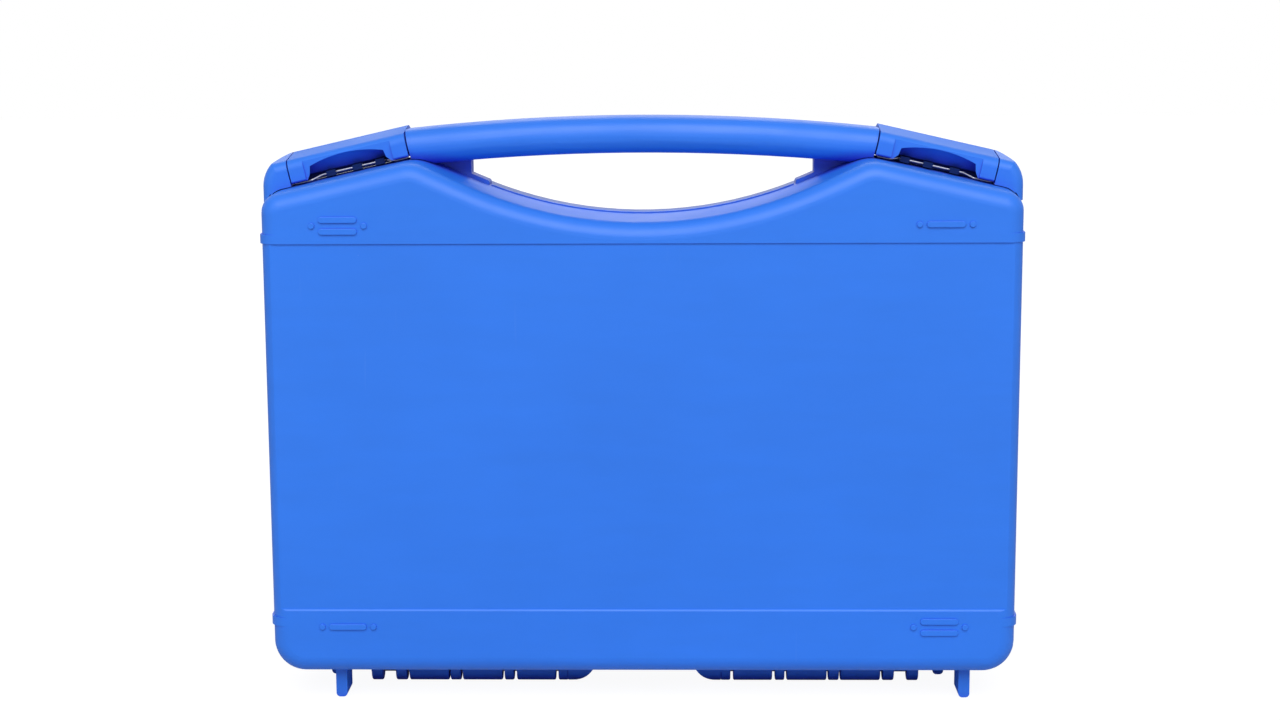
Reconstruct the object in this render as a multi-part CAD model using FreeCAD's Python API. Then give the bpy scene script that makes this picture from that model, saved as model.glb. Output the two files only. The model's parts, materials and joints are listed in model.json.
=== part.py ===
"""Hard tool case standing upright on its feet, lid to the front.

X runs to the right, Y to the back, Z up, in millimetres. The origin is at the bottom centre:
the floor under the feet, on the parting plane between the front shell and the rear shell.
"""
import FreeCAD, Part
import math
import os

V = FreeCAD.Vector

# Driving sizes: half width, shoulder height above the floor, and depth of one shell
SHELL_HALF_WIDTH = 198.9
SHOULDER_REF_Z = 276.25
SHELL_DEPTH = 45.0

# Shell outline, seen from the front at the parting plane
SHELL_BOTTOM_Z = 16.5
BOTTOM_CORNER_R = 18.0
TOP_CORNER_R = 11.5
SHOULDER_ANGLE = 12.9
SHOULDER_REF_INSET = 14.65
PEAK_INSET = 80.4
PEAK_R = 20.0
GAP_SLOPE_ANGLE = 24.4
GAP_R_SHARE = 1.9
DRAFT_ANGLE = 1.72
FACE_FILLET_R = 9.0
WALL = 2.5
PARTING_GAP = 0.3
SHOULDER_REF_X = SHELL_HALF_WIDTH - SHOULDER_REF_INSET
PEAK_HALF_SPAN = SHELL_HALF_WIDTH - PEAK_INSET
GAP_R = GAP_R_SHARE * PEAK_HALF_SPAN

# Sunken panel, wrap-round ribs and stacking nubs of each face
PANEL_LOW_Z = 53.2
PANEL_TOP_DROP = 28.25
PANEL_HIGH_Z = SHOULDER_REF_Z - PANEL_TOP_DROP
PANEL_SINK = 0.9
PANEL_LIP_R = 1.6
PANEL_LIP_LEAD = 0.02
EAR_HEIGHT = 4.8
EAR_PROUD = 1.05
EAR_LOW_Z = 43.6
EAR_REACH = 16.0
NUB_INSET = 41.9
NUB_X = SHELL_HALF_WIDTH - NUB_INSET
NUB_LOW_Z = 43.5
NUB_TOP_DROP = 18.75
NUB_HIGH_Z = SHOULDER_REF_Z - NUB_TOP_DROP
NUB_LENGTH = 20.0
NUB_WIDTH = 3.2
NUB_PITCH = 6.1
NUB_PROUD = 1.0
NUB_EDGE_R = 0.35
NUB_ROOT = 1.0
DOT_D = 3.2
DOT_OFFSET = 13.6

# Rim tongue of the rear shell, which enters the front shell, and the bead of its rim in the dip
TONGUE_THICK = 1.2
TONGUE_CLEARANCE = 0.4
TONGUE_REACH = 2.2
TONGUE_ROOT_DEPTH = 4.0
TONGUE_ROOT_LAP = 0.5
BEAD_PROUD = 0.7
BEAD_DEPTH = 1.2
BEAD_END_GAP = 1.0

# Feet
FOOT_WIDTH = 6.0
FOOT_NEAR_INSET = 35.2
FOOT_FAR_INSET = 26.1
FOOT_INNER_INSET = 33.4
FOOT_OUTER_INSET = 15.3
FOOT_EDGE_R = 2.2
FOOT_NEAR_X = SHELL_HALF_WIDTH - FOOT_NEAR_INSET
FOOT_FAR_X = SHELL_HALF_WIDTH - FOOT_FAR_INSET
FOOT_INNER_Y = SHELL_DEPTH - FOOT_INNER_INSET
FOOT_OUTER_Y = SHELL_DEPTH - FOOT_OUTER_INSET

# Hinges under the parting plane, segments and spaces as shares of the hinge from its outer end
HINGE_Z = 6.8
KNUCKLE_R = 6.2
KNUCKLE_EDGE_R = 0.9
HINGE_PIN_D = 3.0
PIN_RUNNING_GAP = 0.05
HINGE_END_INSET = 48.0
HINGE_END_X = SHELL_HALF_WIDTH - HINGE_END_INSET
HINGE_SPAN_SHARE = 0.721
HINGE_SPAN = HINGE_SPAN_SHARE * HINGE_END_X
KNUCKLE_SHARES = (0.057, 0.057, 0.2013, 0.0533, 0.2022, 0.0478, 0.1976, 0.0496)
KNUCKLE_SPACE_SHARES = (0.0662, 0.0119, 0.0074, 0.0092, 0.011, 0.0147, 0.0138)
RAMP_R = 16.4
HINGE_WEB_GAP = 0.3

# Section of the bow over the top of the case, shared by end caps and latches
BOW_HALF_DEPTH = 20.0
BOW_FRONT_H = 13.2
BOW_TOP_ANGLE = 6.8
BOW_FRONT_R = 5.5
BOW_REAR_R = 10.0
BOW_CLEARANCE = 0.45
CAP_OVERHANG = 1.8
CAP_TOP_ANGLE = 20.0
CAP_CORNER_R = 17.5
CAP_EDGE_R = 6.0
CAP_LIP_DROP = 8.75
CAP_SIDE_BAND = 3.0
CAP_HALF_WIDTH = SHELL_HALF_WIDTH + CAP_OVERHANG
CAP_LIP_Z = SHOULDER_REF_Z - CAP_LIP_DROP

# Handle
HANDLE_RISE = 35.55
HANDLE_TOP_Z = SHOULDER_REF_Z + HANDLE_RISE
HANDLE_ARC_SHARE = 5.948
HANDLE_ARC_R = HANDLE_ARC_SHARE * SHELL_HALF_WIDTH
GRIP_HEIGHT = 19.2
GRIP_HALF_DEPTH = 19.0
POST_SETBACK = 26.9
POST_INNER_X = PEAK_HALF_SPAN - POST_SETBACK
POST_FRONT_Y = 0.4
POST_REAR_Y = 14.0
TOE_LENGTH = 9.7
TOE_INNER_X = POST_INNER_X - TOE_LENGTH
TOE_HEIGHT = 2.0
TOE_END_R = 1.6

# Handle screws, driven from inside the rear shell
SCREW_OFFSET = 10.0
SCREW_X = POST_INNER_X + SCREW_OFFSET
SCREW_Y = 8.5
SCREW_D = 4.0
SCREW_LENGTH = 13.0
SCREW_HEAD_D = 8.0
SCREW_HEAD_HEIGHT = 2.4
SCREW_DRIVE_D = 3.0
SCREW_DRIVE_DEPTH = 1.4
SCREW_HOLE_GAP = 0.15

# Latches, in a frame along the shoulder: length inward, depth backward, height off the shoulder
LATCH_LENGTH = 63.5
LATCH_END_GAP = 0.7
LEVER_WALL = 2.2
LEVER_END_WALL = 3.2
SKIRT_LOW = 1.15
SKIRT_EDGE_R = 1.2
BARREL_R = 6.5
PIVOT_Y = BOW_HALF_DEPTH - BARREL_R
LATCH_PIN_D = 3.0
LATCH_PIN_OUT = 13.0
LATCH_PIN_IN = 8.0
RECESS_SINK = 1.0
RECESS_SHARES = (0.126, 0.874)
RECESS_TOP = 11.7
ARCH_SHARES = (0.1323, 0.1606, 0.1795, 0.4409, 0.8063, 0.8173, 0.8567)
ARCH_KNEE_H = 3.8
ARCH_FROM_TOP = 8.1
ARCH_CROWN = 11.0
ARCH_TO_TOP = 7.6
ROOF_FRONT_SETBACK = 1.4
ROOF_FRONT_H = 11.2
ROOF_REAR_SETBACK = 11.4
ROOF_REAR_H = 2.7
ROOF_THICK = 1.6
ROOF_WEB_LOW = 0.4
ROOF_FRONT_Y = ROOF_FRONT_SETBACK - BOW_HALF_DEPTH
ROOF_REAR_Y = ROOF_REAR_SETBACK - BOW_HALF_DEPTH
TOOTH_WIDTH = 5.1
TOOTH_SHARES = (0.326, 0.5512, 0.748)
TOOTH_LIP_SETBACK = 5.6
TOOTH_LIP_Y = TOOTH_LIP_SETBACK - BOW_HALF_DEPTH
TOOTH_LIP_THICK = 0.8
TOOTH_LIP_LOW = 0.4
TOOTH_ARM_LOW = 2.8
TOOTH_ARM_THICK = 0.6

# Sprung wire of each latch
WIRE_D = 1.2
WIRE_LIFT = 0.45
WIRE_SETBACK = 4.2
WIRE_Y = WIRE_SETBACK - BOW_HALF_DEPTH
WIRE_MIDDLE_H = 2.0
WIRE_MIDDLE_SETBACK = 7.6
WIRE_MIDDLE_Y = WIRE_MIDDLE_SETBACK - BOW_HALF_DEPTH
WIRE_END_INSET = 0.8
WIRE_CRANK_SHARES = (0.1606, 0.8819)
WIRE_CRANK_RUN = 5.5
WIRE_CRANK_FROM, WIRE_CRANK_TO = (share * LATCH_LENGTH for share in WIRE_CRANK_SHARES)
WIRE_UPTURN = 3.2
WIRE_TAIL = 7.0
WIRE_BEND_R = 1.4
WIRE_SLOT_GAP = 0.35
GROOVE_DEPTH = 0.8
GROOVE_WIDTH = 2.2

# Overrun of cutting shapes past the faces that they cut, and how closely an edge is matched
OVERRUN = 6.0
EDGE_MATCH = 0.5

ORIGIN = V(0, 0, 0)
X_AXIS = V(1, 0, 0)
Y_AXIS = V(0, 1, 0)
Z_AXIS = V(0, 0, 1)
CUBE_DIAGONAL = V(1, 1, 1)
QUARTER_TURN = 90
THIRD_TURN = 120
HALF_TURN = 180


def tan(angle):
    return math.tan(math.radians(angle))


def cos(angle):
    return math.cos(math.radians(angle))


def sin(angle):
    return math.sin(math.radians(angle))


def box(x0, x1, y0, y1, z0, z1):
    return Part.makeBox(x1 - x0, y1 - y0, z1 - z0, V(x0, y0, z0))


def shoulder_z(x):
    """Height of the shoulder line of both shells at the parting plane."""
    return SHOULDER_REF_Z + tan(SHOULDER_ANGLE) * (SHOULDER_REF_X - abs(x))


def line_crossing(p, p_dir, q, q_dir):
    cross = p_dir.x * q_dir.y - p_dir.y * q_dir.x
    gap = q - p
    return p + p_dir * ((gap.x * q_dir.y - gap.y * q_dir.x) / cross)


def inset_polygon(corners, inset):
    """Counter-clockwise polygon with every side moved inward by the same distance."""
    count = len(corners)
    lines = []
    for i in range(count):
        start = corners[i]
        direction = (corners[(i + 1) % count] - start).normalize()
        inward = V(-direction.y, direction.x, 0)
        lines.append((start + inward * inset, direction))
    return [line_crossing(*lines[i - 1], *lines[i]) for i in range(count)]


def rounded_wire(corners, radii):
    """Closed wire through corners in the XY plane, each one rounded unless its radius is zero."""
    count = len(corners)
    arcs = []
    for i in range(count):
        here = corners[i]
        to_before = (corners[i - 1] - here).normalize()
        to_after = (corners[(i + 1) % count] - here).normalize()
        half = to_before.getAngle(to_after) / 2
        reach = radii[i] / math.tan(half)
        middle = (to_before + to_after).normalize()
        nearest = here + middle * (radii[i] / math.sin(half) - radii[i])
        arcs.append((here + to_before * reach, nearest, here + to_after * reach))
    edges = []
    for i in range(count):
        start, nearest, end = arcs[i]
        if radii[i] > 0:
            edges.append(Part.Arc(start, nearest, end).toShape())
        edges.append(Part.LineSegment(end, arcs[(i + 1) % count][0]).toShape())
    return Part.Wire(edges)


def stand_up(shape, y):
    """Turns a shape drawn in X and height into the upright plane at the given depth."""
    turned = shape.copy()
    turned.rotate(ORIGIN, X_AXIS, QUARTER_TURN)
    turned.translate(V(0, y, 0))
    return turned


def upright_prism(wire, y0, y1):
    return stand_up(Part.Face(wire), y0).extrude(V(0, y1 - y0, 0))


def shell_outline(inset):
    """Case outline at the parting plane, moved inward by the inset (outward if negative)."""
    peak_z = shoulder_z(PEAK_HALF_SPAN)
    valley_z = peak_z - tan(GAP_SLOPE_ANGLE) * PEAK_HALF_SPAN
    corner_z = shoulder_z(SHELL_HALF_WIDTH)
    corners = [
        V(-SHELL_HALF_WIDTH, SHELL_BOTTOM_Z, 0),
        V(SHELL_HALF_WIDTH, SHELL_BOTTOM_Z, 0),
        V(SHELL_HALF_WIDTH, corner_z, 0),
        V(PEAK_HALF_SPAN, peak_z, 0),
        V(0, valley_z, 0),
        V(-PEAK_HALF_SPAN, peak_z, 0),
        V(-SHELL_HALF_WIDTH, corner_z, 0),
    ]
    radii = [
        BOTTOM_CORNER_R - inset,
        BOTTOM_CORNER_R - inset,
        TOP_CORNER_R - inset,
        PEAK_R - inset,
        GAP_R + inset,
        PEAK_R - inset,
        TOP_CORNER_R - inset,
    ]
    return rounded_wire(inset_polygon(corners, inset), radii)


def tray(inset, depth, edge_r):
    """Drafted solid from the parting plane to the front, its far edge rounded all round."""
    draft = depth * tan(DRAFT_ANGLE)
    near = stand_up(shell_outline(inset), 0)
    far = stand_up(shell_outline(inset + draft), -depth)
    solid = Part.makeLoft([near, far], True, True)
    rim = [e for e in solid.Edges if e.BoundBox.YMax < EDGE_MATCH - depth]
    return solid.makeFillet(edge_r, rim)


def shell_outer():
    return tray(0, SHELL_DEPTH, FACE_FILLET_R)


def shell_cavity():
    """Space inside one shell, reaching past the parting plane."""
    inner = tray(WALL, SHELL_DEPTH - WALL, FACE_FILLET_R - WALL)
    mouth = upright_prism(shell_outline(WALL), 0, OVERRUN)
    return inner.fuse(mouth)


def panel_recess():
    """Cut for the sunken panel, which leaves a rounded lip below it and a sharp one above."""
    reach = SHELL_HALF_WIDTH + OVERRUN
    lead = -SHELL_DEPTH - PANEL_LIP_LEAD
    front = lead - OVERRUN
    floor = -SHELL_DEPTH + PANEL_SINK
    turn = math.acos(1 - (floor - lead) / PANEL_LIP_R)
    low = PANEL_LOW_Z - PANEL_LIP_R * math.sin(turn)
    half_y = lead + PANEL_LIP_R * (1 - math.cos(turn / 2))
    half_z = low + PANEL_LIP_R * math.sin(turn / 2)
    lip = Part.Arc(V(0, lead, low), V(0, half_y, half_z), V(0, floor, PANEL_LOW_Z)).toShape()
    points = [
        V(0, floor, PANEL_LOW_Z),
        V(0, floor, PANEL_HIGH_Z),
        V(0, front, PANEL_HIGH_Z),
        V(0, front, low),
        V(0, lead, low),
    ]
    face = Part.Face(Part.Wire([lip] + Part.makePolygon(points).Edges))
    face.translate(V(-reach, 0, 0))
    return face.extrude(V(2 * reach, 0, 0))


def ears():
    """Four short ribs that wrap round the side edges, level with the ends of the panel."""
    grown = tray(-EAR_PROUD, SHELL_DEPTH, FACE_FILLET_R)
    outer = SHELL_HALF_WIDTH + OVERRUN
    inner = SHELL_HALF_WIDTH - EAR_REACH
    pieces = []
    for low in (EAR_LOW_Z, PANEL_HIGH_Z):
        for x0, x1 in ((-outer, -inner), (inner, outer)):
            slab = box(x0, x1, -SHELL_DEPTH - OVERRUN, 0, low, low + EAR_HEIGHT)
            pieces.append(grown.common(slab))
    return pieces


def nub_bar(x, z):
    """Flat bar with round ends, standing off the face."""
    half = (NUB_LENGTH - NUB_WIDTH) / 2
    r = NUB_WIDTH / 2
    start = V(x - half, z - r, 0)
    edges = [
        Part.LineSegment(start, V(x + half, z - r, 0)).toShape(),
        Part.Arc(V(x + half, z - r, 0), V(x + half + r, z, 0), V(x + half, z + r, 0)).toShape(),
        Part.LineSegment(V(x + half, z + r, 0), V(x - half, z + r, 0)).toShape(),
        Part.Arc(V(x - half, z + r, 0), V(x - half - r, z, 0), start).toShape(),
    ]
    return raised_pad(Part.Wire(edges))


def nub_dot(x, z):
    circle = Part.Circle(V(x, z, 0), Z_AXIS, DOT_D / 2)
    return raised_pad(Part.Wire([circle.toShape()]))


def raised_pad(wire):
    top_y = -SHELL_DEPTH - NUB_PROUD
    pad = upright_prism(wire, top_y, -SHELL_DEPTH + NUB_ROOT)
    edge = [e for e in pad.Edges if e.BoundBox.YMax < top_y + EDGE_MATCH]
    return pad.makeFillet(NUB_EDGE_R, edge)


def nubs():
    """Stacking nubs: two bars at upper left and lower right, one bar at the other corners."""
    half = NUB_PITCH / 2
    places = (
        (-NUB_X, NUB_HIGH_Z, (-half, half)),
        (NUB_X, NUB_HIGH_Z, (0,)),
        (-NUB_X, NUB_LOW_Z, (0,)),
        (NUB_X, NUB_LOW_Z, (-half, half)),
    )
    pieces = []
    for x, z, rows in places:
        for row in rows:
            pieces.append(nub_bar(x, z + row))
        for side in (-1, 1):
            pieces.append(nub_dot(x + side * DOT_OFFSET, z))
    return pieces


def foot(x):
    half = FOOT_WIDTH / 2
    block = box(x - half, x + half, -FOOT_OUTER_Y, -FOOT_INNER_Y, 0, SHELL_BOTTOM_Z + WALL)
    low = [e for e in block.Edges if e.BoundBox.ZMax < FOOT_EDGE_R and e.BoundBox.XLength < FOOT_EDGE_R]
    return block.makeFillet(FOOT_EDGE_R, low)


def knuckle_spans():
    """Inner and outer end of each hinge segment, from the outer end of the hinge inward."""
    spans = []
    outer = HINGE_END_X
    for i, share in enumerate(KNUCKLE_SHARES):
        inner = outer - share * HINGE_SPAN
        spans.append((inner, outer))
        if i < len(KNUCKLE_SPACE_SHARES):
            outer = inner - KNUCKLE_SPACE_SHARES[i] * HINGE_SPAN
    return spans


def knuckle(x0, x1):
    """Hinge barrel with the web that carries it under the front shell."""
    barrel = Part.makeCylinder(KNUCKLE_R, x1 - x0, V(x0, 0, HINGE_Z), X_AXIS)
    ends = [e for e in barrel.Edges if e.BoundBox.XLength < KNUCKLE_EDGE_R]
    barrel = barrel.makeFillet(KNUCKLE_EDGE_R, ends)
    web = box(x0, x1, -KNUCKLE_R, -HINGE_WEB_GAP, HINGE_Z, SHELL_BOTTOM_Z + WALL)
    return barrel.fuse(web)


def hinge_ramp(x):
    """Curved rib that runs from the innermost barrel up to the bottom of the shell."""
    low = HINGE_Z - KNUCKLE_R
    rise = SHELL_BOTTOM_Z + WALL - low
    run = math.sqrt(RAMP_R ** 2 - (RAMP_R - rise) ** 2)
    middle = math.acos((RAMP_R - rise) / RAMP_R) / 2
    bend = V(x - RAMP_R * math.sin(middle), low + RAMP_R * (1 - math.cos(middle)), 0)
    start = V(x, low, 0)
    end = V(x - run, low + rise, 0)
    top = V(x, low + rise, 0)
    edges = [
        Part.Arc(start, bend, end).toShape(),
        Part.LineSegment(end, top).toShape(),
        Part.LineSegment(top, start).toShape(),
    ]
    outline = upright_prism(Part.Wire(edges), -KNUCKLE_R, KNUCKLE_R)
    barrel = Part.makeCylinder(KNUCKLE_R, run, V(x - run, 0, HINGE_Z), X_AXIS)
    web = box(x - run, x, -KNUCKLE_R, -HINGE_WEB_GAP, HINGE_Z, SHELL_BOTTOM_Z + WALL)
    return barrel.fuse(web).common(outline)


def hinge_leaf():
    """Hinge pieces under the front shell: odd segments on its left, even ones on its right."""
    spans = knuckle_spans()
    pieces = [knuckle(-x1, -x0) for x0, x1 in spans[0::2]]
    pieces += [knuckle(x0, x1) for x0, x1 in spans[1::2]]
    pieces.append(hinge_ramp(spans[-1][0]))
    return pieces


def hinge_bores():
    r = HINGE_PIN_D / 2 + PIN_RUNNING_GAP
    reach = HINGE_END_X + OVERRUN
    return Part.makeCylinder(r, 2 * reach, V(-reach, 0, HINGE_Z), X_AXIS)


def bare_shell():
    """One shell as seen from its own outside: tray, panel, ears, nubs, feet and hinge leaf."""
    outer = shell_outer().cut(panel_recess())
    outer = outer.fuse(ears() + nubs())
    shell = outer.cut(shell_cavity())
    reach = SHELL_HALF_WIDTH + OVERRUN
    shell = shell.cut(box(-reach, reach, -PARTING_GAP / 2, SHELL_DEPTH, 0, HANDLE_TOP_Z))
    additions = [foot(-FOOT_NEAR_X), foot(FOOT_FAR_X)] + hinge_leaf()
    shell = shell.fuse(additions).cut(hinge_bores())
    return shell.cut(shell_cavity())


def turned_round(shape):
    """The same shape for the other half of the case, turned half a turn about the vertical."""
    turned = shape.copy()
    turned.rotate(ORIGIN, Z_AXIS, HALF_TURN)
    return turned


def to_latch_place(shape, side):
    """Moves a shape from the latch frame to the left (-1) or right (1) shoulder."""
    placed = shape.copy()
    placed.rotate(ORIGIN, Y_AXIS, -SHOULDER_ANGLE)
    placed.translate(V(-SHOULDER_REF_X, 0, SHOULDER_REF_Z))
    if side > 0:
        placed = placed.mirror(ORIGIN, X_AXIS)
    return placed


def catch_grooves(side):
    """Shallow grooves in the shoulder of the front shell, under the low runs of the wire."""
    r = GROOVE_WIDTH / 2
    surface = WIRE_Y * tan(DRAFT_ANGLE)
    spans = (
        (WIRE_END_INSET - WIRE_D, WIRE_CRANK_FROM),
        (WIRE_CRANK_TO, LATCH_LENGTH - WIRE_END_INSET + WIRE_D),
    )
    pieces = []
    for s0, s1 in spans:
        centre = V(s0, WIRE_Y, surface - GROOVE_DEPTH + r)
        groove = Part.makeCylinder(r, s1 - s0, centre, X_AXIS)
        pieces.append(to_latch_place(groove, side))
    return pieces


def front_shell():
    """Lid half of the case."""
    return bare_shell().cut(catch_grooves(-1) + catch_grooves(1))


def rim_tongue():
    """Ring inside the rim of the rear shell that enters the front shell."""
    inner = WALL + TONGUE_CLEARANCE + TONGUE_THICK
    root = upright_prism(shell_outline(WALL - TONGUE_ROOT_LAP), PARTING_GAP / 2, TONGUE_ROOT_DEPTH)
    lip = upright_prism(shell_outline(WALL + TONGUE_CLEARANCE), -TONGUE_REACH, TONGUE_ROOT_DEPTH)
    hollow = upright_prism(shell_outline(inner), -TONGUE_REACH - OVERRUN, TONGUE_ROOT_DEPTH + OVERRUN)
    return root.fuse(lip).cut(hollow)


def rim_bead():
    """Low bead along the rim of the rear shell, in the dip between the handle's toes."""
    half = TOE_INNER_X - BEAD_END_GAP
    front = PARTING_GAP / 2
    rear = front + BEAD_DEPTH
    ring = upright_prism(shell_outline(-BEAD_PROUD), front, rear)
    ring = ring.cut(upright_prism(shell_outline(WALL / 2), front, rear))
    return ring.common(box(-half, half, front, rear, PANEL_HIGH_Z, HANDLE_TOP_Z))


def clear_of_lid(body):
    """Takes out the space that the front shell needs as it swings from under the bow."""
    above = tray(-BOW_CLEARANCE, SHELL_DEPTH, FACE_FILLET_R)
    above.translate(V(0, PARTING_GAP / 2, 0))
    straight = upright_prism(shell_outline(-BOW_CLEARANCE), -SHELL_DEPTH, PARTING_GAP / 2)
    inner = SHELL_HALF_WIDTH - CAP_SIDE_BAND
    middle = box(-inner, inner, -SHELL_DEPTH - OVERRUN, SHELL_DEPTH, 0, HANDLE_TOP_Z)
    return body.cut(above).cut(straight.cut(middle))


def latch_point(s, h):
    """Point of the left latch frame, as X and height in the front view."""
    x = -SHOULDER_REF_X + s * cos(SHOULDER_ANGLE) - h * sin(SHOULDER_ANGLE)
    z = SHOULDER_REF_Z + s * sin(SHOULDER_ANGLE) + h * cos(SHOULDER_ANGLE)
    return V(x, z, 0)


def bow_top_h(y):
    return BOW_FRONT_H + (y + BOW_HALF_DEPTH) * tan(BOW_TOP_ANGLE)


def bow_section(inset, low, rear_y, radii):
    """Face across the bow, in the plane of depth and height: radii from the front's lower corner on."""
    front = -BOW_HALF_DEPTH
    corners = [
        V(front, low, 0),
        V(rear_y, low, 0),
        V(rear_y, bow_top_h(rear_y), 0),
        V(front, BOW_FRONT_H, 0),
    ]
    face = Part.Face(rounded_wire(inset_polygon(corners, inset), radii))
    face.rotate(ORIGIN, CUBE_DIAGONAL, THIRD_TURN)
    return face


def end_cap():
    """Rounded end of the bow, outboard of the left latch."""
    face_dir = V(-sin(SHOULDER_ANGLE), cos(SHOULDER_ANGLE), 0)
    top = latch_point(-LATCH_END_GAP, bow_top_h(BOW_HALF_DEPTH - BOW_REAR_R))
    low = line_crossing(top, face_dir, V(0, CAP_LIP_Z, 0), X_AXIS)
    side_x = -CAP_HALF_WIDTH
    corner = V(side_x, top.y + (side_x - top.x) * tan(CAP_TOP_ANGLE), 0)
    corners = [V(side_x, CAP_LIP_Z, 0), low, top, corner]
    wire = rounded_wire(corners, [0, 0, 0, CAP_CORNER_R])
    cap = upright_prism(wire, -BOW_HALF_DEPTH, BOW_HALF_DEPTH)
    outer_edges = []
    for edge in cap.Edges:
        flat = edge.BoundBox.YLength < EDGE_MATCH
        if flat and on_cap_outside(edge, corners):
            outer_edges.append(edge)
    cap = cap.makeFillet(CAP_EDGE_R, outer_edges)
    section = bow_section(0, -SHELL_DEPTH, BOW_HALF_DEPTH, [0, 0, BOW_REAR_R, BOW_FRONT_R])
    bow = section.extrude(V(-SHELL_DEPTH, 0, 0))
    return cap.common(to_latch_place(bow, -1))


def on_cap_outside(edge, corners):
    """True for the edges along the side, the rounded corner and the top of the cap."""
    middle = edge.valueAt((edge.FirstParameter + edge.LastParameter) / 2)
    point = V(middle.x, middle.z, 0)
    side, low, top, corner = corners
    above_lip = point.y - side.y
    face = (top - low).normalize()
    off_face = abs((point - low).cross(face).z)
    return above_lip > EDGE_MATCH and off_face > EDGE_MATCH


def latch_pin_hole(side):
    r = LATCH_PIN_D / 2 + PIN_RUNNING_GAP
    outer = -LATCH_PIN_OUT - 2 * OVERRUN
    inner = LATCH_LENGTH + LATCH_END_GAP + LATCH_PIN_IN
    hole = Part.makeCylinder(r, inner - outer, V(outer, PIVOT_Y, pivot_h()), X_AXIS)
    return to_latch_place(hole, side)


def pivot_h():
    """Height of the latch pivot: where the rounded rear edge of the bow begins."""
    half = math.radians(QUARTER_TURN - BOW_TOP_ANGLE) / 2
    return bow_top_h(BOW_HALF_DEPTH) - BOW_REAR_R / math.tan(half)


def screw_axis(side):
    """Seat and direction of a handle screw, square to the slope of the rear shell."""
    peak_z = shoulder_z(PEAK_HALF_SPAN)
    surface_z = peak_z - tan(GAP_SLOPE_ANGLE) * (PEAK_HALF_SPAN - SCREW_X)
    direction = V(-side * sin(GAP_SLOPE_ANGLE), 0, cos(GAP_SLOPE_ANGLE))
    drop = WALL + (SCREW_Y + SCREW_HEAD_D / 2) * tan(DRAFT_ANGLE)
    seat = V(side * SCREW_X, SCREW_Y, surface_z) - direction * drop
    return seat, direction


def screw_hole(side, radius):
    seat, direction = screw_axis(side)
    return Part.makeCylinder(radius, SCREW_LENGTH + OVERRUN, seat - direction * OVERRUN, direction)


def rear_shell():
    """Base half of the case with its rim tongue and the two end caps of the bow."""
    left_cap = end_cap()
    right_cap = left_cap.mirror(ORIGIN, X_AXIS)
    caps = [clear_of_lid(cap) for cap in (left_cap, right_cap)]
    cavity = turned_round(shell_cavity())
    shell = turned_round(bare_shell()).fuse(caps)
    shell = shell.cut(cavity)
    shell = shell.fuse([rim_tongue(), rim_bead()])
    holes = [latch_pin_hole(-1), latch_pin_hole(1)]
    holes += [screw_hole(side, SCREW_D / 2 + SCREW_HOLE_GAP) for side in (-1, 1)]
    return shell.cut(holes)


def grip():
    """Curved bar of stadium section over the hand gap."""
    r = GRIP_HEIGHT / 2
    flat = GRIP_HALF_DEPTH - r
    top = HANDLE_TOP_Z
    low = HANDLE_TOP_Z - GRIP_HEIGHT
    mid = top - r
    edges = [
        Part.LineSegment(V(0, -flat, top), V(0, flat, top)).toShape(),
        Part.Arc(V(0, flat, top), V(0, flat + r, mid), V(0, flat, low)).toShape(),
        Part.LineSegment(V(0, flat, low), V(0, -flat, low)).toShape(),
        Part.Arc(V(0, -flat, low), V(0, -flat - r, mid), V(0, -flat, top)).toShape(),
    ]
    section = Part.Face(Part.Wire(edges))
    half_turn = math.degrees(math.asin(SHOULDER_REF_X / HANDLE_ARC_R))
    centre = V(0, 0, HANDLE_TOP_Z - HANDLE_ARC_R)
    section.rotate(centre, Y_AXIS, -half_turn)
    return section.revolve(centre, Y_AXIS, 2 * half_turn)


def handle_foot(side):
    """Post and toe that carry one end of the grip on the rear shell."""
    sag = HANDLE_ARC_R - math.sqrt(HANDLE_ARC_R ** 2 - PEAK_HALF_SPAN ** 2)
    post_top = HANDLE_TOP_Z - sag - GRIP_HEIGHT / 2
    outer = SHOULDER_REF_X
    post = box(POST_INNER_X, outer, POST_FRONT_Y, POST_REAR_Y, CAP_LIP_Z, post_top)
    raised = upright_prism(shell_outline(-TOE_HEIGHT), POST_FRONT_Y, POST_REAR_Y)
    toe_end = POST_INNER_X + OVERRUN
    toe = raised.common(box(TOE_INNER_X, toe_end, POST_FRONT_Y, POST_REAR_Y, CAP_LIP_Z, post_top))
    bounds = [(edge, edge.BoundBox) for edge in toe.Edges]
    tip = [e for e, b in bounds if b.XMax < TOE_INNER_X + EDGE_MATCH and b.ZMin > toe_tip_z()]
    toe = toe.makeFillet(TOE_END_R, tip)
    foot_piece = post.fuse(toe)
    if side < 0:
        foot_piece = foot_piece.mirror(ORIGIN, X_AXIS)
    return foot_piece


def toe_tip_z():
    """Height of the shell surface at the inner end of the handle toe."""
    peak_z = shoulder_z(PEAK_HALF_SPAN)
    valley_z = peak_z - tan(GAP_SLOPE_ANGLE) * PEAK_HALF_SPAN
    centre_z = valley_z + GAP_R / cos(GAP_SLOPE_ANGLE)
    return centre_z - math.sqrt(GAP_R ** 2 - TOE_INNER_X ** 2)


def handle():
    """Grip, posts and toes as one moulding, seated on the rear shell."""
    body = grip().fuse([handle_foot(-1), handle_foot(1)])
    reach = SHELL_DEPTH
    inner_end = LATCH_LENGTH + LATCH_END_GAP
    beyond = box(-SHOULDER_REF_X, inner_end, -reach, reach, -reach, reach)
    body = body.cut([to_latch_place(beyond, -1), to_latch_place(beyond, 1), turned_round(shell_outer())])
    body = clear_of_lid(body)
    holes = [latch_pin_hole(-1), latch_pin_hole(1)]
    holes += [screw_hole(side, SCREW_D / 2) for side in (-1, 1)]
    return body.cut(holes)


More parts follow.
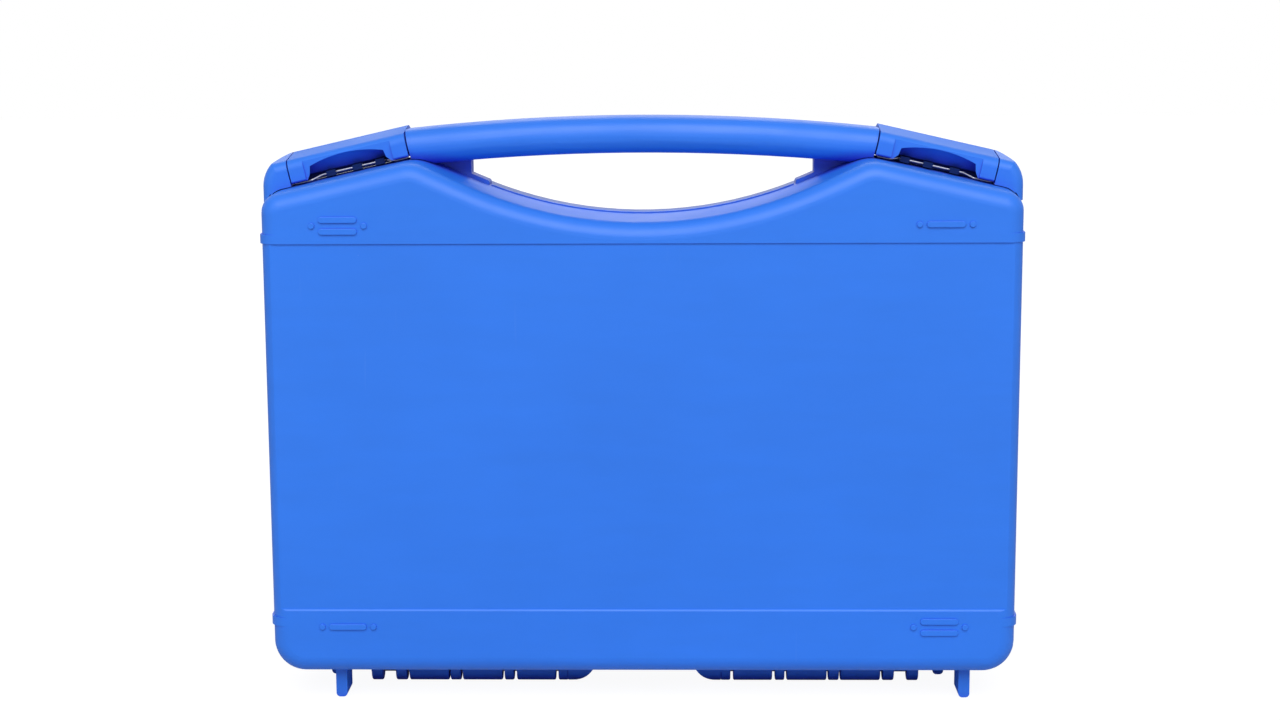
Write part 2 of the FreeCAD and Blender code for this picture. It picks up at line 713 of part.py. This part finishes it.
def handle_screws():
    """Two pan-head screws that hold the handle, one in each post."""
    pieces = []
    for side in (-1, 1):
        seat, direction = screw_axis(side)
        shank = Part.makeCylinder(SCREW_D / 2, SCREW_LENGTH, seat, direction)
        head = Part.makeCylinder(SCREW_HEAD_D / 2, SCREW_HEAD_HEIGHT, seat, direction * -1)
        drive_start = seat - direction * SCREW_HEAD_HEIGHT
        drive = Part.makeCylinder(SCREW_DRIVE_D / 2, SCREW_DRIVE_DEPTH, drive_start, direction)
        pieces.append(shank.fuse(head).cut(drive))
    return Part.makeCompound(pieces)


def lever_blank():
    """Solid lever: the bow section with a round barrel about the pivot at its rear edge."""
    radii = [SKIRT_EDGE_R, 0, BOW_REAR_R, BOW_FRONT_R]
    section = bow_section(0, SKIRT_LOW, BOW_HALF_DEPTH, radii)
    body = section.extrude(V(LATCH_LENGTH, 0, 0))
    barrel_front = BOW_HALF_DEPTH - 2 * BARREL_R
    under = box(0, LATCH_LENGTH, barrel_front, BOW_HALF_DEPTH, 0, pivot_h())
    barrel = Part.makeCylinder(BARREL_R, LATCH_LENGTH, V(0, BOW_HALF_DEPTH - BARREL_R, pivot_h()), X_AXIS)
    return body.cut(under).fuse(barrel)


def lever_hollow():
    """Space under the lever, open downward, in front of the barrel."""
    rear = BOW_HALF_DEPTH - 2 * BARREL_R + LEVER_WALL
    section = bow_section(LEVER_WALL, SKIRT_LOW - OVERRUN, rear, [0, 0, 0, BOW_FRONT_R - LEVER_WALL])
    hollow = section.extrude(V(LATCH_LENGTH - 2 * LEVER_END_WALL, 0, 0))
    hollow.translate(V(LEVER_END_WALL, 0, 0))
    return hollow


def recess_pocket():
    """Flat shallow step in the bulge of the front skirt, round the finger opening."""
    front = -BOW_HALF_DEPTH
    start, end = (share * LATCH_LENGTH for share in RECESS_SHARES)
    return box(start, end, front - OVERRUN, front + RECESS_SINK, -OVERRUN, RECESS_TOP)


def finger_arch():
    """Arched opening through the front skirt, with a flared foot at each side."""
    places = [share * LATCH_LENGTH for share in ARCH_SHARES]
    foot_from, knee_from, side_from, crown_at, side_to, knee_to, foot_to = places
    points = [
        V(foot_from, -OVERRUN, 0),
        V(foot_to, -OVERRUN, 0),
        V(foot_to, SKIRT_LOW, 0),
        V(knee_to, ARCH_KNEE_H, 0),
        V(side_to, ARCH_TO_TOP, 0),
        V(side_from, ARCH_FROM_TOP, 0),
        V(knee_from, ARCH_KNEE_H, 0),
        V(foot_from, SKIRT_LOW, 0),
    ]
    edges = []
    for i, start in enumerate(points):
        end = points[(i + 1) % len(points)]
        if start.y == ARCH_TO_TOP:
            edges.append(Part.Arc(start, V(crown_at, ARCH_CROWN, 0), end).toShape())
        else:
            edges.append(Part.LineSegment(start, end).toShape())
    return upright_prism(Part.Wire(edges), -BOW_HALF_DEPTH - OVERRUN, ROOF_FRONT_Y + LEVER_WALL)


def finger_roof():
    """Slanted plate over the fingertips, from behind the skirt's brow, with a web at its foot."""
    back = ROOF_THICK
    points = [
        V(0, ROOF_FRONT_Y, ROOF_FRONT_H),
        V(0, ROOF_REAR_Y, ROOF_REAR_H),
        V(0, ROOF_REAR_Y, ROOF_WEB_LOW),
        V(0, ROOF_REAR_Y + back, ROOF_WEB_LOW),
        V(0, ROOF_REAR_Y + back, ROOF_REAR_H),
        V(0, ROOF_FRONT_Y + back, ROOF_FRONT_H + back),
    ]
    face = Part.Face(Part.makePolygon(points + [points[0]]))
    end = LEVER_END_WALL / 2
    roof = face.extrude(V(LATCH_LENGTH - 2 * end, 0, 0))
    roof.translate(V(end, 0, 0))
    return roof


def lever_teeth():
    """Three hooked teeth from the foot of the roof, over and in front of the wire."""
    arm_top = TOOTH_ARM_LOW + TOOTH_ARM_THICK
    pieces = []
    for share in TOOTH_SHARES:
        s0 = share * LATCH_LENGTH - TOOTH_WIDTH / 2
        s1 = s0 + TOOTH_WIDTH
        arm = box(s0, s1, TOOTH_LIP_Y, ROOF_REAR_Y, TOOTH_ARM_LOW, arm_top)
        lip = box(s0, s1, TOOTH_LIP_Y, TOOTH_LIP_Y + TOOTH_LIP_THICK, TOOTH_LIP_LOW, arm_top)
        pieces += [arm, lip]
    return pieces


def wire_slots():
    """Notches in the lever's end walls for the low run, the upturns and the tails of the wire."""
    r = WIRE_D / 2 + WIRE_SLOT_GAP
    low = wire_low_h()
    high = low + WIRE_UPTURN
    depth = WIRE_END_INSET + r
    front = WIRE_Y - r
    back = WIRE_Y + r
    end = LATCH_LENGTH + OVERRUN
    pieces = [box(-OVERRUN, end, front, back, low - r, low + r)]
    for s0, s1 in ((-OVERRUN, depth), (LATCH_LENGTH - depth, end)):
        pieces.append(box(s0, s1, front, back, low - r, high + r))
        pieces.append(box(s0, s1, WIRE_Y, back + WIRE_TAIL, high - r, high + r))
    return pieces


def lever():
    """Latch lever in its own frame: hollow cover with finger opening, teeth and pivot bore."""
    body = lever_blank().cut(lever_hollow())
    body = body.cut([recess_pocket(), finger_arch()])
    body = body.fuse([finger_roof()] + lever_teeth())
    bore_r = LATCH_PIN_D / 2 + PIN_RUNNING_GAP
    bore = Part.makeCylinder(bore_r, LATCH_LENGTH, V(0, PIVOT_Y, pivot_h()), X_AXIS)
    return body.cut([bore] + wire_slots())


def wire_low_h():
    """Height of the wire's low runs, just clear of the shoulder of the front shell."""
    return WIRE_Y * tan(DRAFT_ANGLE) + WIRE_LIFT + WIRE_D / 2


def rounded_path(points, radius):
    """Open path of straight runs joined by tangent arcs."""
    edges = []
    start = points[0]
    for i in range(1, len(points) - 1):
        here = points[i]
        to_before = (points[i - 1] - here).normalize()
        to_after = (points[i + 1] - here).normalize()
        half = to_before.getAngle(to_after) / 2
        reach = radius / math.tan(half)
        middle = (to_before + to_after).normalize()
        first = here + to_before * reach
        last = here + to_after * reach
        nearest = here + middle * (radius / math.sin(half) - radius)
        edges.append(Part.LineSegment(start, first).toShape())
        edges.append(Part.Arc(first, nearest, last).toShape())
        start = last
    edges.append(Part.LineSegment(start, points[-1]).toShape())
    return Part.Wire(edges)


def latch_wire():
    """Sprung wire: low runs under the skirt, cranked up and back behind the teeth in the middle."""
    low = wire_low_h()
    first = WIRE_END_INSET
    last = LATCH_LENGTH - WIRE_END_INSET
    points = [
        V(first, WIRE_Y + WIRE_TAIL, low + WIRE_UPTURN),
        V(first, WIRE_Y, low + WIRE_UPTURN),
        V(first, WIRE_Y, low),
        V(WIRE_CRANK_FROM, WIRE_Y, low),
        V(WIRE_CRANK_FROM + WIRE_CRANK_RUN, WIRE_MIDDLE_Y, WIRE_MIDDLE_H),
        V(WIRE_CRANK_TO - WIRE_CRANK_RUN, WIRE_MIDDLE_Y, WIRE_MIDDLE_H),
        V(WIRE_CRANK_TO, WIRE_Y, low),
        V(last, WIRE_Y, low),
        V(last, WIRE_Y, low + WIRE_UPTURN),
        V(last, WIRE_Y + WIRE_TAIL, low + WIRE_UPTURN),
    ]
    path = rounded_path(points, WIRE_BEND_R)
    start = points[0]
    circle = Part.Circle(start, Y_AXIS, WIRE_D / 2)
    section = Part.Wire([circle.toShape()])
    return path.makePipeShell([section], True, False)


def latch_pin():
    start = V(-LATCH_PIN_OUT, PIVOT_Y, pivot_h())
    length = LATCH_PIN_OUT + LATCH_LENGTH + LATCH_END_GAP + LATCH_PIN_IN - WIRE_SLOT_GAP
    return Part.makeCylinder(LATCH_PIN_D / 2, length, start, X_AXIS)


def hinge_pin():
    """Right hinge pin, through all the segments of that hinge."""
    inner = knuckle_spans()[-1][0]
    return Part.makeCylinder(HINGE_PIN_D / 2, HINGE_END_X - inner, V(inner, 0, HINGE_Z), X_AXIS)


def build():
    lever_shape = lever()
    wire_shape = latch_wire()
    pin_shape = latch_pin()
    right_hinge = hinge_pin()
    parts = {
        "rear_shell": rear_shell(),
        "front_shell": front_shell(),
        "handle": handle(),
        "handle_screws": handle_screws(),
        "hinge_pin_left": right_hinge.mirror(ORIGIN, X_AXIS),
        "hinge_pin_right": right_hinge,
    }
    for name, side in (("left", -1), ("right", 1)):
        parts["latch_lever_" + name] = to_latch_place(lever_shape, side)
        parts["latch_wire_" + name] = to_latch_place(wire_shape, side)
        parts["latch_pin_" + name] = to_latch_place(pin_shape, side)
    return parts


os.makedirs("parts", exist_ok=True)
for node, shape in build().items():
    shape.exportStep("parts/" + node + ".step")
    print(node, len(shape.Solids), shape.isValid(), round(shape.Volume), shape.BoundBox)
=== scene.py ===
"""Studio scene of a hard tool case that stands on its feet, lid to the front.

Metres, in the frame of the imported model: X right, Y back, Z up, origin on the floor under the case.
"""

import json
import math

import bpy
from mathutils import Matrix, Vector

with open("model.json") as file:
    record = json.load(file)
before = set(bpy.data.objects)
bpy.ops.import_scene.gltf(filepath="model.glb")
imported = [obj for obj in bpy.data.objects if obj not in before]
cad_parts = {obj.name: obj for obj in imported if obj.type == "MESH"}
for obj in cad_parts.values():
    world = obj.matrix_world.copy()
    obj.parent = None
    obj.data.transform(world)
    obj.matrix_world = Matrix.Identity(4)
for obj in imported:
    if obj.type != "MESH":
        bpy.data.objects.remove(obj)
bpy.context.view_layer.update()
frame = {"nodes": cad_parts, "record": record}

MM = 0.001
WHITE = (1, 1, 1, 1)

# Camera, from the directions in which the photograph shows the case
CAMERA_AT = Vector((20.411, -1143.28, 361.10)) * MM
CAMERA_YAW = math.radians(-1.11)
CAMERA_PITCH = math.radians(9.0)
CAMERA_ROLL = math.radians(0.26)
CAMERA_NEAR = 0.01
CAMERA_FAR = 50
FOCAL_PX = 2136.335
PHOTO_WIDTH_PX = 1280
SENSOR_MM = 36.0


def aim_matrix(place, forward, right):
    """Camera or lamp matrix: looks along forward, with the given direction to its right."""
    up = right.cross(forward)
    turn = Matrix((right, up, -forward)).transposed().to_4x4()
    return Matrix.Translation(place) @ turn


def make_camera():
    """Pinhole camera at the place that the photograph was taken from."""
    level = Vector((math.sin(CAMERA_YAW), math.cos(CAMERA_YAW), 0))
    side = Vector((math.cos(CAMERA_YAW), -math.sin(CAMERA_YAW), 0))
    up = Vector((0, 0, 1))
    forward = level * math.cos(CAMERA_PITCH) - up * math.sin(CAMERA_PITCH)
    below = -(up * math.cos(CAMERA_PITCH) + level * math.sin(CAMERA_PITCH))
    right = side * math.cos(CAMERA_ROLL) + below * math.sin(CAMERA_ROLL)
    data = bpy.data.cameras.new("camera")
    data.sensor_width = SENSOR_MM
    data.lens = FOCAL_PX * SENSOR_MM / PHOTO_WIDTH_PX
    data.clip_start = CAMERA_NEAR
    data.clip_end = CAMERA_FAR
    camera = bpy.data.objects.new("camera", data)
    camera.matrix_world = aim_matrix(CAMERA_AT, forward, right)
    bpy.context.scene.collection.objects.link(camera)
    bpy.context.scene.camera = camera


class Graph:
    """Short way to add linked shader nodes to one node tree."""

    def __init__(self, tree):
        self.tree = tree
        tree.nodes.clear()

    def add(self, kind, inputs=None, **settings):
        node = self.tree.nodes.new("ShaderNode" + kind)
        for key, value in settings.items():
            setattr(node, key, value)
        for key, value in (inputs or {}).items():
            self.feed(node.inputs[key], value)
        return node

    def feed(self, socket, value):
        """Links the socket to another one, or sets its constant."""
        if isinstance(value, bpy.types.NodeSocket):
            self.tree.links.new(value, socket)
        else:
            socket.default_value = value

    def math(self, operation, a, b=0.0):
        return self.add("Math", {0: a, 1: b}, operation=operation).outputs[0]

    def spread(self, value, low, high, to_low=0.0, to_high=1.0):
        """Value carried from one range to another, clamped to it."""
        inputs = {
            "Value": value,
            "From Min": low,
            "From Max": high,
            "To Min": to_low,
            "To Max": to_high,
        }
        return self.add("MapRange", inputs).outputs["Result"]

    def noise(self, vector, scale, detail, roughness):
        inputs = {"Vector": vector, "Scale": scale, "Detail": detail, "Roughness": roughness}
        return self.add("TexNoise", inputs).outputs["Fac"]

    def stretched(self, vector, stretch, turn=(0, 0, 0), shift=(0, 0, 0)):
        inputs = {"Vector": vector, "Location": shift, "Rotation": turn, "Scale": stretch}
        return self.add("Mapping", inputs).outputs["Vector"]

    def bump(self, height, strength, depth, under=None):
        """Relief of a given depth, over an earlier one if there is one."""
        inputs = {"Strength": strength, "Distance": depth, "Height": height}
        if under is not None:
            inputs["Normal"] = under
        return self.add("Bump", inputs).outputs["Normal"]

    def mix(self, factor, a, b):
        """Colour a where the factor is zero and b where it is one."""
        node = self.add("Mix", data_type="RGBA", blend_type="MIX")
        for name, kind, value in (("Factor", "VALUE", factor), ("A", "RGBA", a), ("B", "RGBA", b)):
            sockets = [s for s in node.inputs if s.name == name and s.type == kind]
            self.feed(sockets[0], value)
        return [s for s in node.outputs if s.type == "RGBA"][0]


def srgb(r, g, b):
    """Linear colour of an 8-bit sRGB one."""
    parts = []
    for value in (r, g, b):
        c = value / 255
        if c <= 0.04045:
            parts.append(c / 12.92)
        else:
            parts.append(((c + 0.055) / 1.055) ** 2.4)
    return (*parts, 1.0)


def shaded(colour, factor):
    """Colour made darker or lighter by a factor."""
    return (colour[0] * factor, colour[1] * factor, colour[2] * factor, 1.0)


def new_material(name):
    """Material, and the graph that fills its empty node tree."""
    material = bpy.data.materials.new(name)
    material.use_nodes = True
    return material, Graph(material.node_tree)


# Noises of the plastic, each by scale, detail and roughness
CLOUD = (9.0, 3.0, 0.55)
FLOW = (3.0, 4.0, 0.6)
HAIRLINE = (1.0, 1.0, 0.4)
PATCHES = (14.0, 2.0, 0.5)
RUBBED = (22.0, 4.0, 0.6)
GRAIN = (2600.0, 2.0, 0.6)
SWELL = (26.0, 2.0, 0.5)

# Tone: soft clouds and the flow of the melt
FLOW_STRETCH = (6, 14, 30)
FLOW_TURN = (0, 0.4, 0)
CLOUD_SHARE = 0.6
FLOW_SHARE = 0.4
TONE_RANGE = (0.35, 0.65)
TONE_DARK = 0.96
TONE_LIGHT = 1.04

# Hairlines, in patches only, and specks of dust in a few cells of a Voronoi pattern
HAIRLINE_STRETCH = (240, 240, 9)
HAIRLINE_TURN = (0.35, 0.2, 0.9)
HAIRLINE_RANGE = (0.73, 0.78)
HAIRLINE_STRENGTH = 0.07
PATCH_RANGE = (0.55, 0.68)
SPECK_CELLS = 150.0
SPECK_RARITY = 0.985
SPECK_RANGE = (0.045, 0.02)
SPECK_STRENGTH = 0.4
MARK_COLOUR = srgb(150, 180, 232)

# Gloss and relief
PLASTIC_IOR = 1.49
SPECULAR_LEVEL = 0.44
RUBBED_RANGE = (0.3, 0.75)
RUBBED_SMOOTHER = 0.05
RUBBED_ROUGHER = 0.06
GRAIN_STRENGTH = 0.35
MARK_STRENGTH = 0.3
MARK_DEPTH = 0.03 * MM
SWELL_STRENGTH = 0.25
SWELL_DEPTH = 0.25 * MM

# Painted shade: deeper blue where the surface is closed in, in creases, recesses and under parts
CREVICE_SHADE_REACH = 14 * MM
CREVICE_SHADE_SAMPLES = 8
CREVICE_SHADE_RANGE = (0.72, 0.28)
CREVICE_SHADE_BLUE = (0.032, 0.07, 0.6, 1)

# Tilted frame of the latches, at the shoulder of the case, and the band of painted shade, near black and
# less glossy, along the teeth and web where the wire runs under the lever
SHOULDER_X = 184.25 * MM
SHOULDER_Z = 276.25 * MM
SHOULDER_ANGLE = math.radians(12.9)
WIRE_SHADE_TOP = (4.2 * MM, 3.5 * MM)
WIRE_SHADE_FRONT = -15.2 * MM
WIRE_SHADE_REAR = -6.0 * MM
WIRE_SHADE_SHARE = 0.9
WIRE_SHADE_SPECULAR = 0.08
WIRE_SHADE_BLACK = (0.004, 0.007, 0.03, 1)


def painted_wire_shade(g, place):
    """Mask of painted shade: one along the teeth and the web of a latch, where the wire runs in the shadow
    of the lever; zero elsewhere.
    """
    axes = g.add("SeparateXYZ", {"Vector": place})
    inward = g.math("SUBTRACT", SHOULDER_X, g.math("ABSOLUTE", axes.outputs["X"]))
    rise = g.math("SUBTRACT", axes.outputs["Z"], SHOULDER_Z)
    square_up = g.math("MULTIPLY", rise, math.cos(SHOULDER_ANGLE))
    height = g.math("SUBTRACT", square_up, g.math("MULTIPLY", inward, math.sin(SHOULDER_ANGLE)))
    low = g.spread(height, *WIRE_SHADE_TOP)
    behind = g.math("GREATER_THAN", axes.outputs["Y"], WIRE_SHADE_FRONT)
    before = g.math("LESS_THAN", axes.outputs["Y"], WIRE_SHADE_REAR)
    return g.math("MULTIPLY", low, g.math("MULTIPLY", behind, before))


def hairlines_and_specks(g, place):
    """Strength of the light marks that handling and dust leave on the plastic."""
    scratched = g.stretched(place, HAIRLINE_STRETCH, HAIRLINE_TURN)
    hairline = g.spread(g.noise(scratched, *HAIRLINE), *HAIRLINE_RANGE)
    hairline = g.math("MULTIPLY", hairline, g.spread(g.noise(place, *PATCHES), *PATCH_RANGE))
    cells = g.add("TexVoronoi", {"Vector": place, "Scale": SPECK_CELLS})
    chance = g.add("SeparateColor", {"Color": cells.outputs["Color"]})
    chosen = g.math("GREATER_THAN", chance.outputs[0], SPECK_RARITY)
    speck = g.math("MULTIPLY", g.spread(cells.outputs["Distance"], *SPECK_RANGE), chosen)
    hairline = g.math("MULTIPLY", hairline, HAIRLINE_STRENGTH)
    return g.math("MAXIMUM", hairline, g.math("MULTIPLY", speck, SPECK_STRENGTH))


def moulded_plastic(name, colour, roughness, grain_depth, shift=(0, 0, 0), shade_along_wire=False):
    """Satin polypropylene: spark-eroded grain, faint flow marks, rubbed patches, hairlines and dust, with
    painted shade in closed-in places and, where asked, painted shade along the wire of a latch.
    """
    material, g = new_material(name)
    at = g.add("TexCoord").outputs["Object"]
    place = g.stretched(at, (1, 1, 1), shift=shift)

    cloud = g.math("MULTIPLY", g.noise(place, *CLOUD), CLOUD_SHARE)
    flow = g.noise(g.stretched(place, FLOW_STRETCH, FLOW_TURN), *FLOW)
    tone = g.math("ADD", cloud, g.math("MULTIPLY", flow, FLOW_SHARE))
    base = g.mix(g.spread(tone, *TONE_RANGE), shaded(colour, TONE_DARK), shaded(colour, TONE_LIGHT))
    marks = hairlines_and_specks(g, place)
    base = g.mix(marks, base, MARK_COLOUR)

    # Painted shade: the base colour turns deep blue where ambient occlusion finds the surface closed in
    occlusion = g.add("AmbientOcclusion", {"Distance": CREVICE_SHADE_REACH}, samples=CREVICE_SHADE_SAMPLES)
    base = g.mix(g.spread(occlusion.outputs["AO"], *CREVICE_SHADE_RANGE), base, CREVICE_SHADE_BLUE)
    gloss = SPECULAR_LEVEL
    if shade_along_wire:
        # Painted shade: teeth and web darkened to near black, and made less glossy, along the wire
        dark = painted_wire_shade(g, at)
        base = g.mix(g.math("MULTIPLY", dark, WIRE_SHADE_SHARE), base, WIRE_SHADE_BLACK)
        gloss = g.spread(dark, 0.0, 1.0, SPECULAR_LEVEL, WIRE_SHADE_SPECULAR)

    rubbed = g.noise(place, *RUBBED)
    smooth, rough = roughness - RUBBED_SMOOTHER, roughness + RUBBED_ROUGHER
    relief = g.bump(g.noise(place, *GRAIN), GRAIN_STRENGTH, grain_depth)
    relief = g.bump(marks, MARK_STRENGTH, MARK_DEPTH, relief)
    relief = g.bump(g.noise(place, *SWELL), SWELL_STRENGTH, SWELL_DEPTH, relief)

    shader = g.add("BsdfPrincipled", {
        "Base Color": base,
        "Roughness": g.spread(rubbed, *RUBBED_RANGE, smooth, rough),
        "Normal": relief,
        "IOR": PLASTIC_IOR,
        "Specular IOR Level": gloss,
    })
    g.add("OutputMaterial", {"Surface": shader.outputs[0]})
    return material


# Steel: fine streaks along the drawing or turning direction, and a dull cloud
STREAKS = (1.0, 3.0, 0.6)
STREAK_RANGE = (0.3, 0.7)
STREAK_SMOOTHER = 0.08
STREAK_ROUGHER = 0.1
STREAK_STRENGTH = 0.4
STREAK_DEPTH = 0.02 * MM
DULLING = (160.0, 3.0, 0.5)
DULLED = 0.8


def drawn_steel(name, colour, roughness, along):
    """Drawn or turned steel, its marks stretched by the scales given along X, Y and Z."""
    material, g = new_material(name)
    place = g.add("TexCoord").outputs["Object"]
    streaks = g.noise(g.stretched(place, along), *STREAKS)
    cloud = g.spread(g.noise(place, *DULLING), *TONE_RANGE)
    smooth, rough = roughness - STREAK_SMOOTHER, roughness + STREAK_ROUGHER
    shader = g.add("BsdfPrincipled", {
        "Base Color": g.mix(cloud, shaded(colour, DULLED), colour),
        "Roughness": g.spread(streaks, *STREAK_RANGE, smooth, rough),
        "Normal": g.bump(streaks, STREAK_STRENGTH, STREAK_DEPTH),
        "Metallic": 1.0,
    })
    g.add("OutputMaterial", {"Surface": shader.outputs[0]})
    return material


BLUE = srgb(37, 114, 225)
SHELL_ROUGHNESS = 0.46
LATCH_ROUGHNESS = 0.56
SHELL_GRAIN = 0.05 * MM
FINE_GRAIN = 0.04 * MM
HANDLE_SHIFT = (0.3, 0.1, 0.2)
LATCH_SHIFT = (0.7, 0.4, 0.1)
WIRE_STEEL = srgb(158, 160, 168)
WIRE_ROUGHNESS = 0.38
DRAWN_ALONG_X = (60, 2500, 2500)
PIN_STEEL = srgb(190, 192, 198)
PIN_ROUGHNESS = 0.34
TURNED_ROUND_X = (2500, 60, 60)
MATERIALS = {
    "shell_plastic": moulded_plastic("shell_plastic", BLUE, SHELL_ROUGHNESS, SHELL_GRAIN),
    "handle_plastic": moulded_plastic("handle_plastic", BLUE, SHELL_ROUGHNESS, FINE_GRAIN, HANDLE_SHIFT),
    "latch_plastic": moulded_plastic("latch_plastic", BLUE, LATCH_ROUGHNESS, FINE_GRAIN, LATCH_SHIFT, True),
    "spring_steel": drawn_steel("spring_steel", WIRE_STEEL, WIRE_ROUGHNESS, DRAWN_ALONG_X),
    "pin_steel": drawn_steel("pin_steel", PIN_STEEL, PIN_ROUGHNESS, TURNED_ROUND_X),
}

# Width of the rounded edges by material slot; the round wires take none
EDGE_ROUNDING = {
    "shell_plastic": 0.25 * MM,
    "handle_plastic": 0.3 * MM,
    "latch_plastic": 0.25 * MM,
    "pin_steel": 0.2 * MM,
}
FLAT_WITHIN = math.radians(0.6)
EDGE_FROM = math.radians(38)
EDGE_SEGMENTS = 2
FACE_WEIGHT = 50


def round_edges(node, width):
    """Soft edges and even shading over the flat faces of a solid, its mesh left as it is."""
    merge = node.modifiers.new("merge_flat", "DECIMATE")
    merge.decimate_type = "DISSOLVE"
    merge.angle_limit = FLAT_WITHIN
    bevel = node.modifiers.new("edge_rounding", "BEVEL")
    bevel.width = width
    bevel.segments = EDGE_SEGMENTS
    bevel.limit_method = "ANGLE"
    bevel.angle_limit = EDGE_FROM
    even = node.modifiers.new("even_shading", "WEIGHTED_NORMAL")
    even.keep_sharp = True
    even.weight = FACE_WEIGHT


def dress_nodes():
    """Gives every solid the material of its slot, and softly rounded edges."""
    slots = {part["node"]: part["material_slot"] for part in frame["record"]["subparts"]}
    for name, node in frame["nodes"].items():
        slot = slots[name]
        node.data.materials.clear()
        node.data.materials.append(MATERIALS[slot])
        if slot in EDGE_ROUNDING:
            round_edges(node, EDGE_ROUNDING[slot])


FLOOR_HALF = 7.0
FLOOR_ALBEDO = 0.66
FLOOR_SEEN_SHARE = 0.2
FLOOR_GLOW = 0.94
FLOOR_FADE = (0.35, 1.2)


def make_floor():
    """Pale floor that keeps the shadow of the case and fades to white away from it."""
    mesh = bpy.data.meshes.new("floor")
    corners = [(x * FLOOR_HALF, y * FLOOR_HALF, 0) for x, y in ((-1, -1), (1, -1), (1, 1), (-1, 1))]
    mesh.from_pydata(corners, [], [(0, 1, 2, 3)])
    floor = bpy.data.objects.new("floor", mesh)
    bpy.context.scene.collection.objects.link(floor)
    material, g = new_material("floor")
    seen = g.add("LightPath").outputs["Is Camera Ray"]
    place = g.add("TexCoord").outputs["Object"]
    away = g.add("VectorMath", {0: place}, operation="LENGTH").outputs["Value"]
    glow = g.spread(away, *FLOOR_FADE, FLOOR_GLOW, 1.0)
    albedo = g.spread(seen, 0.0, 1.0, FLOOR_ALBEDO, FLOOR_ALBEDO * FLOOR_SEEN_SHARE)
    matte = g.add("BsdfDiffuse", {"Color": albedo})
    lift = g.add("Emission", {"Color": WHITE, "Strength": g.math("MULTIPLY", seen, glow)})
    both = g.add("AddShader", {0: matte.outputs[0], 1: lift.outputs[0]})
    g.add("OutputMaterial", {"Surface": both.outputs[0]})
    mesh.materials.append(material)


AMBIENT = 0.13


def make_world():
    """White to the camera and in reflections, and a weak light from all round."""
    world = bpy.data.worlds.new("studio")
    world.use_nodes = True
    g = Graph(world.node_tree)
    path = g.add("LightPath")
    seen = g.math("MAXIMUM", path.outputs["Is Camera Ray"], path.outputs["Is Glossy Ray"])
    seen = g.math("MAXIMUM", seen, path.outputs["Is Transmission Ray"])
    strength = g.spread(seen, 0.0, 1.0, AMBIENT, 1.0)
    background = g.add("Background", {"Color": WHITE, "Strength": strength})
    g.add("OutputWorld", {"Surface": background.outputs[0]})
    bpy.context.scene.world = world


LAMP_TARGET = Vector((0, 0, 0.16))

# Softboxes: name, place, width, height and watts
LAMPS = [
    ("key", (0.1, -4.3, 4.4), 6.0, 4.4, 395),
    ("back", (0, 4.6, 3.2), 4.0, 3.0, 45),
    ("fill_left", (-2.0, -1.3, 0.9), 1.0, 1.4, 5),
    ("fill_right", (2.0, -1.3, 0.9), 1.0, 1.4, 5),
]


def make_lamps():
    for name, place, width, height, watts in LAMPS:
        data = bpy.data.lights.new(name, "AREA")
        data.shape = "RECTANGLE"
        data.size = width
        data.size_y = height
        data.energy = watts
        lamp = bpy.data.objects.new(name, data)
        forward = (LAMP_TARGET - Vector(place)).normalized()
        right = forward.cross(Vector((0, 0, 1))).normalized()
        lamp.matrix_world = aim_matrix(Vector(place), forward, right)
        bpy.context.scene.collection.objects.link(lamp)


make_camera()
make_world()
make_lamps()
make_floor()
dress_nodes()
bpy.context.scene.view_settings.view_transform = "Standard"
